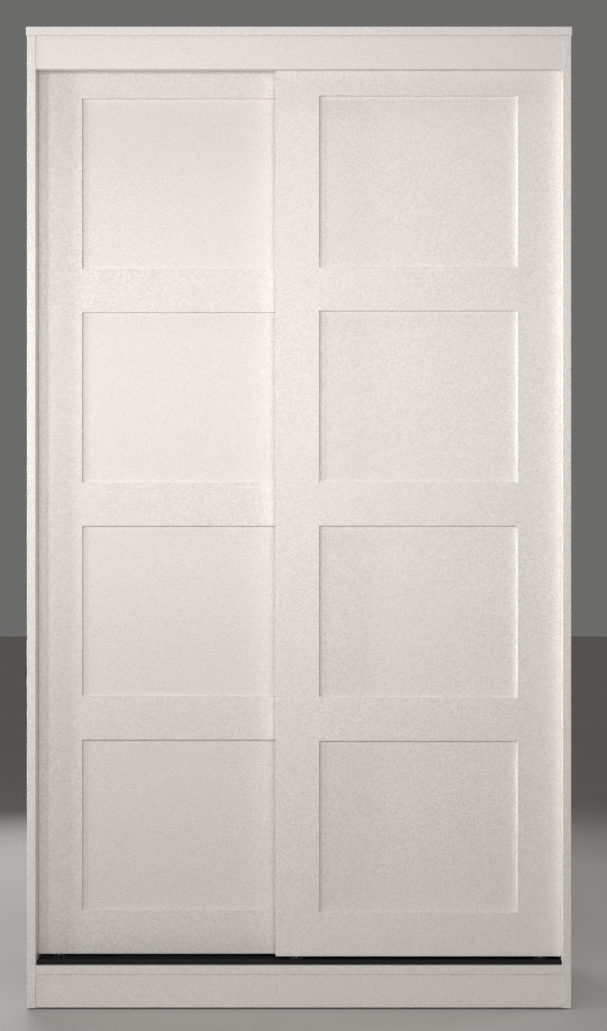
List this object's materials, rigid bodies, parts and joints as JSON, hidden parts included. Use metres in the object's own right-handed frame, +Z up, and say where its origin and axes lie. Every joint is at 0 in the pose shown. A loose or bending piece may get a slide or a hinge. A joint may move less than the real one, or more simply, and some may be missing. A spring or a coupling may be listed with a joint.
{
  "type": "sliding door wardrobe",
  "caption": "Tall white wardrobe with two framed sliding doors on rollers, a fascia, a plinth, a hanging bay and a shelved bay.",
  "frame": {"origin": "middle of the footprint, on the floor", "axes": "+X to the right seen from the front, +Y from the front to the back, +Z up"},
  "size_m": [1.2, 0.6, 2.16],
  "materials": {
    "carcass_white": "warm white melamine on board, satin",
    "door_white": "warm white lacquer with a fine orange peel, satin",
    "back_sheet": "hardboard, white face and brown rear",
    "joiner_plastic": "extruded white plastic",
    "rail_chrome": "polished chrome",
    "track_aluminium": "anodised aluminium",
    "track_black": "black anodised aluminium",
    "stop_rubber": "black rubber",
    "fastener_steel": "zinc plated steel",
    "cam_zinc": "die cast zinc",
    "bracket_steel": "zinc plated steel",
    "glide_plastic": "black plastic",
    "housing_plastic": "black moulded plastic",
    "wheel_nylon": "black nylon",
    "guide_plastic": "grey moulded plastic",
    "axle_steel": "ground steel"
  },
  "bodies": {
    "carcass": {"side_panel_left": "carcass_white", "side_panel_right": "carcass_white", "top_panel": "carcass_white", "base_panel": "carcass_white", "centre_divider": "carcass_white", "fascia_board": "carcass_white", "front_plinth": "carcass_white", "rear_plinth": "carcass_white", "plinth_brace": "carcass_white", "back_panel_left": "back_sheet", "back_panel_right": "back_sheet", "back_joiner": "joiner_plastic", "hat_shelf": "carcass_white", "shelf_lower": "carcass_white", "shelf_middle": "carcass_white", "shelf_upper": "carcass_white", "shelf_pins": "fastener_steel", "hanging_rail": "rail_chrome", "rail_sockets": "rail_chrome", "top_track": "track_aluminium", "bottom_track": "track_black", "door_stops": "stop_rubber", "fixing_screws": "fastener_steel", "cam_fittings": "cam_zinc", "wall_brackets": "bracket_steel", "floor_glides": "glide_plastic"},
    "left_door": {"left_door_outer_stile": "door_white", "left_door_inner_stile": "door_white", "left_door_rail_1": "door_white", "left_door_rail_2": "door_white", "left_door_rail_3": "door_white", "left_door_rail_4": "door_white", "left_door_rail_5": "door_white", "left_door_panel_1": "door_white", "left_door_panel_2": "door_white", "left_door_panel_3": "door_white", "left_door_panel_4": "door_white", "left_door_roller_housings": "housing_plastic", "left_door_roller_axles": "axle_steel", "left_door_top_guides": "guide_plastic", "left_door_screws": "fastener_steel"},
    "left_door_outer_roller": {"left_door_outer_wheel": "wheel_nylon"},
    "left_door_inner_roller": {"left_door_inner_wheel": "wheel_nylon"},
    "right_door": {"right_door_outer_stile": "door_white", "right_door_inner_stile": "door_white", "right_door_rail_1": "door_white", "right_door_rail_2": "door_white", "right_door_rail_3": "door_white", "right_door_rail_4": "door_white", "right_door_rail_5": "door_white", "right_door_panel_1": "door_white", "right_door_panel_2": "door_white", "right_door_panel_3": "door_white", "right_door_panel_4": "door_white", "right_door_roller_housings": "housing_plastic", "right_door_roller_axles": "axle_steel", "right_door_top_guides": "guide_plastic", "right_door_screws": "fastener_steel"},
    "right_door_outer_roller": {"right_door_outer_wheel": "wheel_nylon"},
    "right_door_inner_roller": {"right_door_inner_wheel": "wheel_nylon"}
  },
  "joints": [
    {"name": "left_door_slide", "type": "slide", "parent": "carcass", "child": "left_door", "axis": [1, 0, 0], "range_m": [0, 0.526]},
    {"name": "right_door_slide", "type": "slide", "parent": "carcass", "child": "right_door", "axis": [-1, 0, 0], "range_m": [0, 0.526]},
    {"name": "left_door_outer_roller_spin", "type": "hinge", "parent": "left_door", "child": "left_door_outer_roller", "pos_m": [-0.5327, -0.2355, 0.1123], "axis": [0, 1, 0], "continuous": true},
    {"name": "left_door_inner_roller_spin", "type": "hinge", "parent": "left_door", "child": "left_door_inner_roller", "pos_m": [0.006, -0.2355, 0.1123], "axis": [0, 1, 0], "continuous": true},
    {"name": "right_door_outer_roller_spin", "type": "hinge", "parent": "right_door", "child": "right_door_outer_roller", "pos_m": [0.5327, -0.2655, 0.1123], "axis": [0, 1, 0], "continuous": true},
    {"name": "right_door_inner_roller_spin", "type": "hinge", "parent": "right_door", "child": "right_door_inner_roller", "pos_m": [-0.006, -0.2655, 0.1123], "axis": [0, 1, 0], "continuous": true}
  ],
  "couplings": [
    {"joint": "left_door_outer_roller_spin", "follows": "left_door_slide", "rad_per_m": 71.429},
    {"joint": "left_door_inner_roller_spin", "follows": "left_door_slide", "rad_per_m": 71.429},
    {"joint": "right_door_outer_roller_spin", "follows": "right_door_slide", "rad_per_m": -71.429},
    {"joint": "right_door_inner_roller_spin", "follows": "right_door_slide", "rad_per_m": -71.429}
  ]
}
